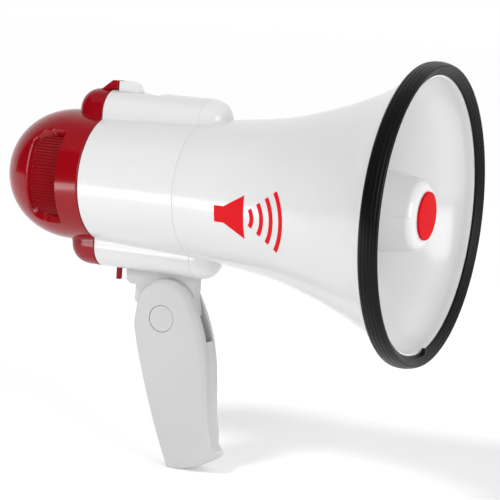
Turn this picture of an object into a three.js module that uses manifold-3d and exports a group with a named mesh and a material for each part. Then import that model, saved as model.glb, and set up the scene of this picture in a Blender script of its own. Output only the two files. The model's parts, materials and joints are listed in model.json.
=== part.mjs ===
// Handheld megaphone: a horn loudspeaker with a red battery cap behind it and a folding
// pistol grip below. Millimetres, +Z up, +X the way the horn points. Every piece is drawn
// about the horn's own axis with x = 0 at the mouth, and the finished group is then moved
// so that the origin is the middle of the flat on the handle's base.

import * as THREE from 'three';
import { mergeVertices } from 'three/addons/utils/BufferGeometryUtils.js';
import Module from 'manifold-3d';

const wasm = await Module();
wasm.setup();

// Fits and facets
const GAP = 0.3;
const WALL = 2.4;
const SIDES = 40;
const FINE_SIDES = 24;
const SMALL_SIDES = 10;
const DRIVER_SIDES = 18;

// Horn and rim
const HORN_LINE = [[-140, 39.2], [-125, 41], [-105, 43.1], [-85, 46.4], [-65, 52], [-45, 59], [-25, 68.4],
  [-11.4, 76.6]];
const LIP_RADIUS = 77.6;
const LIP_X = -4.6;
const RIM_RADIUS = 83.4;
const RIM_DEPTH = 10.6;
const RIM_INNER = 76;
const BULKHEAD_X = -112;
const BULKHEAD_THICK = 3;
const DRIVER_WELL_RADIUS = 36.6;
const HORN_SCREW_ANGLES = [30, 150, 210, 330];
const HORN_SCREW_CIRCLE = 31.5;
const DRIVER_SCREW_ANGLES = [30, 150, 270];
const DRIVER_SCREW_CIRCLE = 25;

// Compression driver, each part from [back, front] measured behind the bulkhead
const DRIVER = {
  flange: { span: [2.2, 0], radius: 27 },
  coil: { span: [9.5, 3.3], inner: 9.7, outer: 10.4 },
  plate: { span: [7, 3.3], inner: 10.9, outer: 22.5 },
  magnet: { span: [15.6, 7.3], inner: 13.5, outer: 25 },
  yoke: { span: [19.4, 15.9], radius: 23.5, pole: 9.2 },
};

// Reflector cup inside the bell
const CUP_FACE_X = -5.2;
const CUP_BACK_X = -92;
const BADGE_RADIUS = 13.3;
const BADGE_THICK = 1.2;
const THROAT_BORE = 8;
const THROAT_END_X = -30;

// Rear housing and the ridges along its top and bottom
const SEAM_X = -140;
const CAP_SEAM_X = -202.1;
const HOUSING_REAR_RADIUS = 37;
const BORE_RADIUS = 34.5;
const RIDGE_RADIUS = 13;
const RIDGE_HEIGHT = 38.7;
const RIDGE_CAP_X = -207.5;

// Rear cap
const CAP_LINE = [[-202.4, 37], [-212, 37.9], [-222, 38.2], [-230, 37.8], [-238, 36.2], [-246, 32.6],
  [-253, 26.6], [-258.5, 18.6], [-261.6, 11.2]];
const CAP_END_X = -263.7;
const CAP_WALL = 2;
const GRILLE_RADIUS = 10.8;
const WINDOW = { x0: -236.6, x1: -216.3, halfAngle: 45 };
const RING = { x0: -236.9, x1: -215.4, radius: 33.6, ribs: 48, rib: 0.55 };

// Battery bay and electronics
const CELL_RADIUS = 13.1;
const CELL_LENGTH = 50;
const CELL_REAR_X = -198.4;
const CELL_OFFSET = CELL_RADIUS + 0.8;
const BOARD_X = -144.6;

// Latch and switch
const LATCH = { x0: -197.4, x1: -184.6, halfWidth: 4.2, foot: 45.6 };
const PEG = { x: -191.2, size: 2.7, tip: -58.4, top: -44.9 };
const PEG_TRAVEL = 3.5;
const SPRING_FOOT_Z = 36.5;
const SCOOP = { x: -176, z: 53, radius: 9, floor: 47.8 };

// Handle, its bracket and its pivot
const PIVOT = { x: -156.9, z: -76.4 };
const TONGUE_WIDTH = 7.3;
const TONGUE_FRONT_X = -138.6;
const TONGUE_REAR_X = -178;
const TONGUE_END_RADIUS = 13.7;
const BRACKET_TOP_Z = -52.4;
const NECK = { x0: -182.6, x1: -145 };
const SLOT_WIDTH = 8;
const SLOT_RADIUS = 21.6;
const SLOT_LIP = [[0, -14.2], [19, -14.2], [32, -8.6]];
const SPINE_TOP_Z = -70;
const SPINE_INNER_X = -171.2;
const GRIP_WIDTH = 18;
const GRIP_EDGE = 3;
const GRIP_WALL = 2.6;
const PARTING_Y = 1;
const CROWN = { x: -155.3, z: -71.6, radius: 18.2 };
const BASE_FLAT = [[-139, -162], [-127, -158.2]];
const PIVOT_CAP_RADIUS = 7.7;
const PIVOT_CAP_THICK = 1.3;
const BOLT_HEAD_RADIUS = 6.5;
const BOLT_RADIUS = 4;
const GRIP_SCREWS = [[-150.5, -107], [-142, -131], [-134.5, -149.5]];

const WHITE = 0xf2f2f2;
const GREY_WHITE = 0xe2e2e2;
const RED = 0xb0101c;
const BRIGHT_RED = 0xdd1a22;
const BLACK = 0x141414;
const DARK_GREY = 0x2b2b2b;
const STEEL = 0xb8bcc0;
const COPPER = 0xb87333;
const FILM = 0xc9a15a;
const BRASS_SLEEVE = 0xc08a3a;
const BOARD_GREEN = 0x2f6b3a;
const NAVY = 0x22303f;

const megaphone = new THREE.Group();

// ---- building blocks ---------------------------------------------------------------

function signedVolume(position, triangles) {
  const [a, b, c] = [new THREE.Vector3(), new THREE.Vector3(), new THREE.Vector3()];
  let volume = 0;
  for (let i = 0; i < triangles.length; i += 3) {
    a.fromArray(position, triangles[i] * 3);
    b.fromArray(position, triangles[i + 1] * 3);
    c.fromArray(position, triangles[i + 2] * 3);
    volume += a.dot(b.cross(c)) / 6;
  }
  return volume;
}

// A geometry with its shared corners merged and its faces turned outwards.
function solid(geometry) {
  geometry.deleteAttribute('normal');
  geometry.deleteAttribute('uv');
  const merged = mergeVertices(geometry);
  const position = merged.attributes.position.array;
  const index = merged.index.array;
  const triangles = [];
  for (let i = 0; i < index.length; i += 3) {
    const [a, b, c] = [index[i], index[i + 1], index[i + 2]];
    if (a !== b && b !== c && c !== a) triangles.push(a, b, c);
  }
  if (signedVolume(position, triangles) < 0) triangles.reverse();
  return new wasm.Manifold(new wasm.Mesh({
    numProp: 3,
    vertProperties: Float32Array.from(position),
    triVerts: Uint32Array.from(triangles),
  }));
}

function piece(name, shape, color, roughness = 0.35, metalness = 0) {
  const { vertProperties, triVerts } = shape.getMesh();
  const geometry = new THREE.BufferGeometry();
  geometry.setAttribute('position', new THREE.BufferAttribute(Float32Array.from(vertProperties), 3));
  geometry.setIndex(new THREE.BufferAttribute(Uint32Array.from(triVerts), 1));
  geometry.computeVertexNormals();
  const mesh = new THREE.Mesh(geometry, new THREE.MeshStandardMaterial({ color, roughness, metalness }));
  mesh.name = name;
  megaphone.add(mesh);
}

// Turned about the horn's axis from [x, radius] points.
function turned(profile, sides = FINE_SIDES) {
  const geometry = new THREE.LatheGeometry(profile.map(([x, r]) => new THREE.Vector2(r, x)), sides);
  geometry.rotateZ(-Math.PI / 2);
  return solid(geometry);
}

// A ring whose section is the closed outline.
function ring(section, sides = FINE_SIDES) {
  return turned([...section, section[0]], sides);
}

function tube(x0, x1, inner, outer, sides = FINE_SIDES) {
  return ring([[x0, inner], [x0, outer], [x1, outer], [x1, inner]], sides);
}

function disc(x0, x1, radius, sides = FINE_SIDES) {
  return turned([[x0, 0], [x0, radius], [x1, radius], [x1, 0]], sides);
}

function rod(along, radius, from, to, at, sides = SMALL_SIDES) {
  const geometry = new THREE.CylinderGeometry(radius, radius, to - from, sides);
  const middle = (from + to) / 2;
  if (along === 'x') {
    geometry.rotateZ(-Math.PI / 2);
    geometry.translate(middle, at[0], at[1]);
  } else if (along === 'y') {
    geometry.translate(at[0], middle, at[1]);
  } else {
    geometry.rotateX(Math.PI / 2);
    geometry.translate(at[0], at[1], middle);
  }
  return solid(geometry);
}

function box([x0, x1], [y0, y1], [z0, z1]) {
  const geometry = new THREE.BoxGeometry(x1 - x0, y1 - y0, z1 - z0);
  geometry.translate((x0 + x1) / 2, (y0 + y1) / 2, (z0 + z1) / 2);
  return solid(geometry);
}

// An outline in X and Z, given a width across Y.
function slab(outline, width, middle = 0, edge = 0) {
  const shape = new THREE.Shape(outline.map(([x, z]) => new THREE.Vector2(x, z)));
  const geometry = new THREE.ExtrudeGeometry(shape, {
    depth: width - 2 * edge,
    bevelEnabled: edge > 0,
    bevelThickness: edge,
    bevelSize: edge,
    bevelOffset: -edge,
    bevelSegments: 2,
  });
  geometry.translate(0, 0, -width / 2 + edge - middle);
  geometry.rotateX(Math.PI / 2);
  return solid(geometry);
}

// An outline in Y and Z, run along X.
function bar(outline, x0, x1) {
  const shape = new THREE.Shape(outline.map(([y, z]) => new THREE.Vector2(y, z)));
  const geometry = new THREE.ExtrudeGeometry(shape, { depth: x1 - x0, bevelEnabled: false });
  geometry.translate(0, 0, x0);
  const toRow = new THREE.Matrix4().makeBasis(
    new THREE.Vector3(0, 1, 0), new THREE.Vector3(0, 0, 1), new THREE.Vector3(1, 0, 0));
  geometry.applyMatrix4(toRow);
  return solid(geometry);
}

function arc(cx, cz, radius, fromDegrees, toDegrees, steps) {
  return Array.from({ length: steps + 1 }, (_, i) => {
    const angle = THREE.MathUtils.degToRad(fromDegrees + ((toDegrees - fromDegrees) * i) / steps);
    return [cx + radius * Math.cos(angle), cz + radius * Math.sin(angle)];
  });
}

function smooth(points, steps) {
  const curve = new THREE.SplineCurve(points.map(([x, y]) => new THREE.Vector2(x, y)));
  return curve.getPoints(steps).map((p) => [p.x, p.y]);
}

function polar(radius, degrees) {
  const angle = THREE.MathUtils.degToRad(degrees);
  return [radius * Math.cos(angle), radius * Math.sin(angle)];
}

// A screw along an axis: its head, then a shank that runs on from it.
function screw(along, headRadius, head, shankRadius, shankEnd, at) {
  const inner = shankEnd > head[1] ? head[1] : head[0];
  const [from, to] = shankEnd > inner ? [inner - 0.2, shankEnd] : [shankEnd, inner + 0.2];
  return rod(along, headRadius, head[0], head[1], at).add(rod(along, shankRadius, from, to, at));
}

// ---- horn, rim and reflector ---------------------------------------------------------

// The rounded front end of a ridge.
function ridgeNose(side) {
  const geometry = new THREE.SphereGeometry(RIDGE_RADIUS, 20, 10);
  geometry.translate(SEAM_X, 0, side * RIDGE_HEIGHT);
  return solid(geometry).intersect(box([SEAM_X, 0], [-60, 60], [-60, 60]));
}

function horn() {
  const outside = smooth(HORN_LINE, 9);
  const outer = turned([[SEAM_X, 0], ...outside, [-9, LIP_RADIUS], [LIP_X, LIP_RADIUS], [LIP_X, 0]], SIDES);
  const inside = smooth(HORN_LINE.slice(2).map(([x, r]) => [x, r - 1.15 * WALL]), 6);
  const mouth = RIM_INNER - 0.8;
  const bell = turned([[BULKHEAD_X, 0], [BULKHEAD_X, 39.2], ...inside, [-7, mouth], [1, mouth], [1, 0]],
    SIDES);
  const well = disc(SEAM_X - 1, BULKHEAD_X - BULKHEAD_THICK, DRIVER_WELL_RADIUS, SIDES);
  const posts = HORN_SCREW_ANGLES.map((degrees) => rod('x', 3, SEAM_X + 0.8, BULKHEAD_X - 1,
    polar(HORN_SCREW_CIRCLE, degrees)));
  const threads = HORN_SCREW_ANGLES.map((degrees) => rod('x', 1.5, SEAM_X - 1, SEAM_X + 12,
    polar(HORN_SCREW_CIRCLE, degrees)));
  const throat = rod('x', THROAT_BORE, BULKHEAD_X - 10, BULKHEAD_X + 10, [0, 0], FINE_SIDES);
  let shape = outer.add(ridgeNose(1)).add(ridgeNose(-1)).subtract(well).subtract(bell).subtract(throat);
  posts.forEach((post) => { shape = shape.add(post); });
  threads.forEach((thread) => { shape = shape.subtract(thread); });
  DRIVER_SCREW_ANGLES.forEach((degrees) => {
    const at = polar(DRIVER_SCREW_CIRCLE, degrees);
    shape = shape.subtract(rod('x', 1.5, BULKHEAD_X - 4, BULKHEAD_X - 0.6, at));
  });
  return shape;
}

function bellRim() {
  const lip = LIP_RADIUS + GAP;
  return ring([[-RIM_DEPTH, lip], [-RIM_DEPTH, RIM_RADIUS - 0.6], [-RIM_DEPTH + 0.6, RIM_RADIUS],
    [-0.9, RIM_RADIUS], [0, RIM_RADIUS - 0.9], [0, RIM_INNER + 1], [LIP_X + GAP, RIM_INNER],
    [LIP_X + GAP, lip]], SIDES);
}

function reflectorCup() {
  const boss = THROAT_BORE + 3;
  const seat = CUP_FACE_X - 2.6;
  return ring([[CUP_FACE_X, 4], [CUP_FACE_X, 14.6], [CUP_FACE_X - 1.4, 17.6], [CUP_FACE_X - 5, 20.2],
    [-20, 21.6], [-32, 22.9], [CUP_BACK_X, 24.6], [CUP_BACK_X, 22.6], [-32, 20.9], [-14, 18.4], [-10, 15],
    [-9.2, boss], [-9.2, 5], [-20, 5], [-20, 2], [seat, 2], [seat, 4]]);
}

function noseFittings() {
  const back = CUP_FACE_X + GAP;
  piece('nose_badge', disc(back, back + BADGE_THICK, BADGE_RADIUS), BRIGHT_RED, 0.4);
  const fixing = screw('x', 3.6, [CUP_FACE_X - 2.3, CUP_FACE_X - 0.3], 1.6, -29, [0, 0]);
  piece('reflector_screw', fixing, STEEL, 0.3, 1);
}

// The tube that carries the sound forward from the driver, with a spider that holds the cup.
function throatTube() {
  const bore = tube(BULKHEAD_X + GAP, THROAT_END_X, THROAT_BORE, THROAT_BORE + 2);
  const flange = tube(BULKHEAD_X + GAP, BULKHEAD_X + 3, THROAT_BORE, THROAT_BORE + 9);
  const hub = disc(THROAT_END_X - 4, -20 - GAP, 4.6, SMALL_SIDES);
  const within = disc(-40, -20, THROAT_BORE + 1, FINE_SIDES);
  const arms = [0, 120, 240].map((degrees) => {
    const geometry = new THREE.BoxGeometry(4, 10, 1.6);
    geometry.translate(THROAT_END_X - 2, 5, 0);
    geometry.rotateX(THREE.MathUtils.degToRad(degrees));
    return solid(geometry).intersect(within);
  });
  return arms.reduce((shape, arm) => shape.add(arm), bore.add(flange).add(hub))
    .subtract(rod('x', 1.9, THROAT_END_X, -10, [0, 0]));
}

// ---- compression driver ----------------------------------------------------------------

function driver() {
  const front = BULKHEAD_X - BULKHEAD_THICK - GAP;
  const span = (item) => item.span.map((depth) => front - depth);
  const sleeve = (item) => tube(...span(item), item.inner, item.outer, DRIVER_SIDES);
  const { flange, coil, plate, magnet, yoke } = DRIVER;
  let frame = tube(...span(flange), 14, flange.radius, DRIVER_SIDES);
  DRIVER_SCREW_ANGLES.forEach((degrees, i) => {
    const at = polar(DRIVER_SCREW_CIRCLE, degrees);
    const fixing = screw('x', 1.9, [front - 4.4, front - 2.5], 1.2, front + 2.2, at);
    frame = frame.subtract(rod('x', 1.6, front - 5, front + 1, at, 8));
    piece(`driver_screw_${i + 1}`, fixing, STEEL, 0.3, 1);
  });
  piece('driver_flange', frame, BLACK, 0.5);
  const dome = [[1.1, 0], [1.5, 6], [2.9, 10.5], [2.9, 13.4], [2.3, 13.4], [2.3, 10.5], [0.9, 6], [0.5, 0]];
  piece('driver_diaphragm', turned(dome.map(([depth, r]) => [front - depth, r]), DRIVER_SIDES), FILM, 0.4);
  piece('voice_coil', sleeve(coil), COPPER, 0.3, 1);
  piece('driver_top_plate', sleeve(plate), STEEL, 0.35, 1);
  piece('driver_magnet', sleeve(magnet), DARK_GREY, 0.6);
  const pole = disc(front - yoke.span[1] - 0.1, front - coil.span[1] - 0.1, yoke.pole, DRIVER_SIDES);
  piece('driver_yoke', disc(...span(yoke), yoke.radius, DRIVER_SIDES).add(pole), STEEL, 0.35, 1);
}

// ---- rear housing ------------------------------------------------------------------------

function ridgeSection(side, inset = 0) {
  const radius = RIDGE_RADIUS - inset;
  const crown = arc(0, side * RIDGE_HEIGHT, radius, 0, side * 180, 10);
  return [...crown, [-radius, side * 26], [radius, side * 26]];
}

function rearHousing() {
  const x0 = CAP_SEAM_X;
  const x1 = SEAM_X - GAP;
  let shape = turned([[x0, 0], [x0, HOUSING_REAR_RADIUS], [x1, HORN_LINE[0][1]], [x1, 0]], SIDES);
  [1, -1].forEach((side) => {
    shape = shape.add(bar(ridgeSection(side), x0, x1));
  });
  shape = shape.subtract(disc(x0 - 1, x1 + 1, BORE_RADIUS, SIDES));
  [1, -1].forEach((side) => {
    shape = shape.subtract(bar(ridgeSection(side, WALL), x0 - 1, x1 + 1));
  });
  // ears for the screws that hold the horn
  HORN_SCREW_ANGLES.forEach((degrees) => {
    const at = polar(HORN_SCREW_CIRCLE, degrees);
    const web = box([x1 - 3, x1], [-4, 4], [31, 37.2]).rotate([degrees - 90, 0, 0]);
    shape = shape.add(rod('x', 4, x1 - 3, x1, at)).add(web).subtract(rod('x', 1.9, x1 - 5, x1 + 1, at));
  });
  const scoopFloor = box([SCOOP.x - 8, SCOOP.x + 10], [-9, 9], [44.4, 49]);
  const springShelf = box([-196, -186], [-10.8, 10.8], [34.2, SPRING_FOOT_Z - GAP]);
  return shape.add(scoopFloor).add(springShelf).subtract(fingerScoop()).subtract(housingSlots());
}

// The hollow a fingertip reaches into ahead of the latch.
function fingerScoop() {
  const bowl = new THREE.SphereGeometry(SCOOP.radius, 14, 8);
  bowl.scale(1, 0.85, 0.6);
  bowl.translate(SCOOP.x, 0, SCOOP.z);
  return solid(bowl).intersect(box([-190, -160], [-12, 12], [SCOOP.floor, 60]));
}

// Openings for the latch, the switch peg and the neck of the handle's bracket.
function housingSlots() {
  const latch = LATCH.halfWidth + GAP;
  const peg = PEG.size / 2 + 0.35;
  const neck = TONGUE_WIDTH / 2 + GAP;
  return box([LATCH.x0 - GAP, LATCH.x1 + GAP], [-latch, latch], [40, 60])
    .add(box([PEG.x - peg, PEG.x + peg + PEG_TRAVEL], [-peg, peg], [-60, -45]))
    .add(box([NECK.x0 - GAP, NECK.x1 + GAP], [-neck, neck], [-60, -45]));
}

// ---- battery bay and electronics -----------------------------------------------------------

function batteryBay() {
  const front = CELL_REAR_X + CELL_LENGTH;
  const quarters = [[1, 1], [-1, 1], [-1, -1], [1, -1]].map(([y, z]) => [y * CELL_OFFSET, z * CELL_OFFSET]);
  quarters.forEach(([y, z], i) => {
    const flip = i % 2 ? 1 : -1;
    const body = rod('x', CELL_RADIUS, CELL_REAR_X + 1.5, front - 1.5, [y, z], 20);
    const nubX = flip > 0 ? front - 1.7 : CELL_REAR_X;
    const nub = rod('x', 3.2, nubX, nubX + 1.7, [y, z]);
    piece(`battery_cell_${i + 1}`, body.add(nub), BRASS_SLEEVE, 0.35, 0.6);
  });
  let tray = disc(CELL_REAR_X + 6, CELL_REAR_X + 10, BORE_RADIUS - GAP, 32)
    .add(disc(front - 10, front - 6, BORE_RADIUS - GAP, 32))
    .add(box([CELL_REAR_X + 6, front - 6], [-3.4, 3.4], [-3.4, 3.4]));
  quarters.forEach((at) => {
    tray = tray.subtract(rod('x', CELL_RADIUS + GAP, CELL_REAR_X - 5, front + 5, at, 20));
  });
  piece('battery_tray', tray, DARK_GREY, 0.6);
  piece('battery_contact_plate', box([front + GAP, front + 1.5], [-24, 24], [-21, 21]), STEEL, 0.3, 1);
}

function amplifier() {
  const face = BOARD_X + 1.6;
  piece('amplifier_board', box([BOARD_X, face], [-22, 22], [-20, 20]), BOARD_GREEN, 0.5);
  piece('amplifier_capacitor', rod('x', 4, face + GAP, face + 5.4, [-13, 12]), NAVY, 0.4);
  piece('amplifier_heat_sink', box([face + GAP, face + 5.2], [4, 18], [-15, -11]), STEEL, 0.4, 1);
}

function hornScrews() {
  HORN_SCREW_ANGLES.forEach((degrees, i) => {
    const at = polar(HORN_SCREW_CIRCLE, degrees);
    const shape = screw('x', 2.8, [SEAM_X - 5.9, SEAM_X - 3.6], 1.15, SEAM_X + 10, at);
    piece(`horn_screw_${i + 1}`, shape, STEEL, 0.3, 1);
  });
}

// ---- latch and mode switch --------------------------------------------------------------------

function latchAndSwitch() {
  const { x0, x1, halfWidth, foot } = LATCH;
  const lug = [[x0, foot], [x0, 56.2], [x0 + 0.8, 56.9], [-189.4, 56.9], [-186.6, 55.3], [x1, 52],
    [x1, foot]];
  piece('latch_button', slab(lug, 2 * halfWidth), WHITE);
  piece('latch_spring', rod('z', 2.4, SPRING_FOOT_Z, foot - GAP, [(x0 + x1) / 2, 0]), STEEL, 0.3, 1);
  const half = PEG.size / 2;
  const slot = half + 0.35;
  piece('mode_switch', box([PEG.x - half, PEG.x + half], [-half, half], [PEG.tip, PEG.top]), RED);
  const room = box([PEG.x - slot, PEG.x + slot + PEG_TRAVEL], [-slot, slot], [-50, PEG.top + GAP]);
  const block = box([PEG.x - 5, PEG.x + 6.5], [-5, 5], [-47.2, -40.8]);
  piece('mode_switch_case', block.subtract(room), BLACK, 0.5);
}

// ---- rear cap -----------------------------------------------------------------------------------

function capWindow(side) {
  const reach = 60;
  const half = THREE.MathUtils.degToRad(WINDOW.halfAngle);
  const wedge = [[0, 0], [side * reach * Math.cos(half), -reach * Math.sin(half)],
    [side * reach * Math.cos(half), reach * Math.sin(half)]];
  return bar(side > 0 ? wedge : wedge.reverse(), WINDOW.x0, WINDOW.x1)
    .subtract(disc(WINDOW.x0 - 1, WINDOW.x1 + 1, RING.radius - 1));
}

function rearCap() {
  const line = smooth(CAP_LINE, 9);
  const outer = turned([[CAP_SEAM_X - GAP, 0], ...line, [CAP_LINE.at(-1)[0], 0]], SIDES);
  const hollow = smooth(CAP_LINE.map(([x, r]) => [x + (x < -240 ? 1.6 : 0), r - CAP_WALL]), 7);
  const inner = turned([[CAP_SEAM_X + 1, 0], [CAP_SEAM_X + 1, HOUSING_REAR_RADIUS - CAP_WALL], ...hollow,
    [hollow.at(-1)[0], 0]], SIDES);
  let shape = outer;
  [1, -1].forEach((side) => {
    const nose = new THREE.SphereGeometry(RIDGE_RADIUS, 20, 10);
    nose.translate(RIDGE_CAP_X, 0, side * RIDGE_HEIGHT);
    shape = shape.add(bar(ridgeSection(side), RIDGE_CAP_X, CAP_SEAM_X - GAP))
      .add(solid(nose).intersect(box([-240, RIDGE_CAP_X], [-60, 60], [-60, 60])));
  });
  shape = shape.subtract(inner);
  [1, -1].forEach((side) => {
    shape = shape.subtract(bar(ridgeSection(side, WALL), RIDGE_CAP_X, CAP_SEAM_X + 1));
  });
  const tab = slab([[-210.5, 50.4], [-201.4, 57], [-198, 57], [-198, 52.1], [-203.4, 52.1], [-203.4, 50.4]],
    2 * LATCH.halfWidth);
  const mouth = rod('x', GRILLE_RADIUS - 1.6, -270, -250, [0, 0], FINE_SIDES);
  return shape.add(tab).subtract(mouth).subtract(capWindow(1)).subtract(capWindow(-1));
}

function volumeRing() {
  const { x0, x1, radius, ribs, rib } = RING;
  const rim = Array.from({ length: ribs * 2 }, (_, i) => polar(radius - (i % 2 ? rib : 0), (i * 180) / ribs));
  return bar(rim, x0, x1)
    .subtract(disc(x0 - 1, x1 - 2.2, radius - 3, FINE_SIDES))
    .subtract(rod('x', 3.3, x0, x1 + 1, [0, 0]))
    .add(tube(x1 - 8, x1 - 1, 3.3, 6));
}

function capFittings() {
  piece('cap_contact_plate', disc(-201.2, -199.6, 33.4, 32), DARK_GREY, 0.6);
  piece('volume_pot', disc(-210.5, -201.5, 9, 28).add(disc(-224, -210, 2.9, SMALL_SIDES)), STEEL, 0.35, 1);
  const holes = [[0, 0], ...[0, 60, 120, 180, 240, 300].map((degrees) => polar(5.4, degrees))];
  const back = CAP_LINE.at(-1)[0] - GAP;
  const grille = turned([[back, 0], [back, GRILLE_RADIUS], [back - 0.4, GRILLE_RADIUS], [-263.2, 7.4],
    [CAP_END_X, 0]], FINE_SIDES);
  const drilled = holes.reduce((shape, at) => shape.subtract(rod('x', 1.5, -270, -255, at, 8)), grille);
  piece('mic_grille', drilled, BLACK, 0.5);
  piece('mic_boot', tube(-259.6, -246, 5, 8.2, 28), BLACK, 0.8);
  piece('mic_capsule', disc(-257, -249, 4.7, 24), STEEL, 0.35, 1);
}

// ---- handle ---------------------------------------------------------------------------------------

// The grip's outline, drawn in by an inset for the hollow inside it.
function gripOutline(inset = 0) {
  const { x, z, radius } = CROWN;
  const rear = smooth([[x - radius, z], [-174.4, -80], [-172.2, -91], [-166.9, -109], [-158.1, -134.6],
    [-151, -152.3], [-146, -161.6]], 8).map(([px, pz]) => [px + inset, pz]);
  const base = [BASE_FLAT[0], BASE_FLAT[1], [-119.6, -154.2]]
    .map(([px, pz]) => [px, pz + inset]);
  const front = smooth([[-114.4, -150.4], [-120.4, -143.6], [-123, -132], [-124.9, -115], [-127.2, -97],
    [-130.8, -82], [-135, -71.5]], 7).map(([px, pz]) => [px - inset, pz]);
  return { rear, base, front, crown: arc(x, z, radius - inset, 20, 180, 9) };
}

function tonguePocket() {
  const at = ([x, z]) => [PIVOT.x + x, PIVOT.z + z];
  const ahead = [...SLOT_LIP, [32, 30], [0, 30]].map(at);
  const round = rod('y', SLOT_RADIUS, -SLOT_WIDTH / 2, SLOT_WIDTH / 2, [PIVOT.x, PIVOT.z], FINE_SIDES)
    .intersect(box([SPINE_INNER_X, -100], [-20, 20], [-120, -40]));
  const over = box([-190, -120], [-SLOT_WIDTH / 2, SLOT_WIDTH / 2], [SPINE_TOP_Z, -40]);
  return round.add(slab(ahead, SLOT_WIDTH)).add(over);
}

// The grip's moulded shell before it is drilled, with posts inside for the screws.
function gripBlank() {
  const grip = gripOutline();
  const outline = [...grip.rear, ...grip.base, ...grip.front, ...grip.crown.slice(0, -1)];
  const inner = gripOutline(GRIP_WALL);
  const floorZ = PIVOT.z - SLOT_RADIUS - GRIP_WALL;
  const hollow = slab([...inner.rear, ...inner.base, ...inner.front.slice(1)], GRIP_WIDTH - 2 * GRIP_WALL)
    .intersect(box([-180, -100], [-20, 20], [-160.5, floorZ]));
  const shell = slab(outline, GRIP_WIDTH, 0, GRIP_EDGE).subtract(hollow);
  const post = GRIP_WIDTH / 2 - 1.5;
  return GRIP_SCREWS.reduce((shape, at) => shape.add(rod('y', 3.2, -post, post, at)), shell);
}

// Stepped seats for the pivot on both cheeks, each with the cap that covers it.
function pivotSeats(body) {
  const at = [PIVOT.x, PIVOT.z];
  const half = GRIP_WIDTH / 2;
  const headDeep = 3.5;
  const through = rod('y', BOLT_RADIUS + GAP, -half - 1, half + 1, at, FINE_SIDES);
  return [-1, 1].reduce((shape, side) => {
    const from = (depth) => (side < 0 ? [-half - 1, -half + depth] : [half - depth, half + 1]);
    const cover = side < 0 ? [-half, -half + PIVOT_CAP_THICK] : [half - PIVOT_CAP_THICK, half];
    const cap = rod('y', PIVOT_CAP_RADIUS, ...cover, at, FINE_SIDES);
    piece(side < 0 ? 'pivot_cap_near' : 'pivot_cap_far', cap, GREY_WHITE);
    return shape
      .subtract(rod('y', PIVOT_CAP_RADIUS + GAP, ...from(PIVOT_CAP_THICK + GAP), at, FINE_SIDES))
      .subtract(rod('y', BOLT_HEAD_RADIUS + GAP, ...from(headDeep), at, FINE_SIDES));
  }, body.subtract(through));
}

function handle() {
  const half = GRIP_WIDTH / 2;
  let body = pivotSeats(gripBlank().subtract(tonguePocket()));
  GRIP_SCREWS.forEach((at, i) => {
    const fixing = screw('y', 2.6, [half - 2.5, half - 0.7], 1.25, -5, at);
    body = body.subtract(rod('y', 1.6, -5.5, half + 1, at)).subtract(rod('y', 3, half - 2.8, half + 1, at));
    piece(`handle_screw_${i + 1}`, fixing, STEEL, 0.3, 1);
  });
  const near = box([-200, -90], [-20, PARTING_Y - GAP / 2], [-190, -40]);
  const far = box([-200, -90], [PARTING_Y + GAP / 2, 20], [-190, -40]);
  piece('handle_half_near', body.intersect(near), GREY_WHITE);
  piece('handle_half_far', body.intersect(far), GREY_WHITE);
}

function pivotBolt() {
  const half = GRIP_WIDTH / 2;
  const at = [PIVOT.x, PIVOT.z];
  const head = [-half + PIVOT_CAP_THICK + GAP, -half + 3.2];
  const shank = rod('y', BOLT_RADIUS, head[1] - 0.2, half - 2, at, FINE_SIDES);
  piece('pivot_bolt', rod('y', BOLT_HEAD_RADIUS, ...head, at, FINE_SIDES).add(shank), STEEL, 0.3, 1);
  const nut = rod('y', BOLT_HEAD_RADIUS, -head[1], -head[0], at, 6);
  const thread = rod('y', BOLT_RADIUS + 0.1, half - 5, half, at, FINE_SIDES);
  piece('pivot_nut', nut.subtract(thread), STEEL, 0.3, 1);
}

function handleBracket() {
  const half = TONGUE_WIDTH / 2;
  const shoulder = SPINE_TOP_Z + 0.4;
  const tongue = slab([[-185, BRACKET_TOP_Z], [-184, -57.4], [-181.4, -59.2], [TONGUE_REAR_X, -59.2],
    [TONGUE_REAR_X, shoulder], [SPINE_INNER_X + 0.6, shoulder],
    ...arc(PIVOT.x, PIVOT.z, TONGUE_END_RADIUS, 180, 300, 10), [TONGUE_FRONT_X, PIVOT.z + 4.4],
    [TONGUE_FRONT_X, BRACKET_TOP_Z]], TONGUE_WIDTH);
  const neck = box([NECK.x0, NECK.x1], [-half, half], [BRACKET_TOP_Z - 1, -43]);
  const foot = box([NECK.x0, NECK.x1], [-7.4, 7.4], [-45.6, -42.8]);
  const bore = rod('y', BOLT_RADIUS + GAP, -6, 6, [PIVOT.x, PIVOT.z], FINE_SIDES);
  let shape = tongue.add(neck).add(foot).subtract(bore);
  [-176, -151].forEach((x, i) => {
    const fixing = screw('z', 2.9, [-42.5, -40.6], 1.25, -51.5, [x, 0]);
    shape = shape.subtract(rod('z', 1.6, -52, -40, [x, 0]));
    piece(`bracket_screw_${i + 1}`, fixing, STEEL, 0.3, 1);
  });
  return shape;
}

// ---- assembly ---------------------------------------------------------------------------------------

piece('horn', horn(), WHITE);
piece('bell_rim', bellRim(), BLACK, 0.45);
piece('reflector_cup', reflectorCup(), WHITE);
noseFittings();
piece('throat_tube', throatTube(), GREY_WHITE);
driver();
piece('rear_housing', rearHousing(), WHITE);
batteryBay();
amplifier();
hornScrews();
latchAndSwitch();
piece('rear_cap', rearCap(), RED, 0.25);
piece('volume_ring', volumeRing(), RED, 0.35);
capFittings();
handle();
pivotBolt();
piece('handle_bracket', handleBracket(), GREY_WHITE);

megaphone.position.set(-(BASE_FLAT[0][0] + BASE_FLAT[1][0]) / 2, 0, -(BASE_FLAT[0][1] + BASE_FLAT[1][1]) / 2);
megaphone.updateMatrixWorld(true);

export default megaphone;
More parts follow.
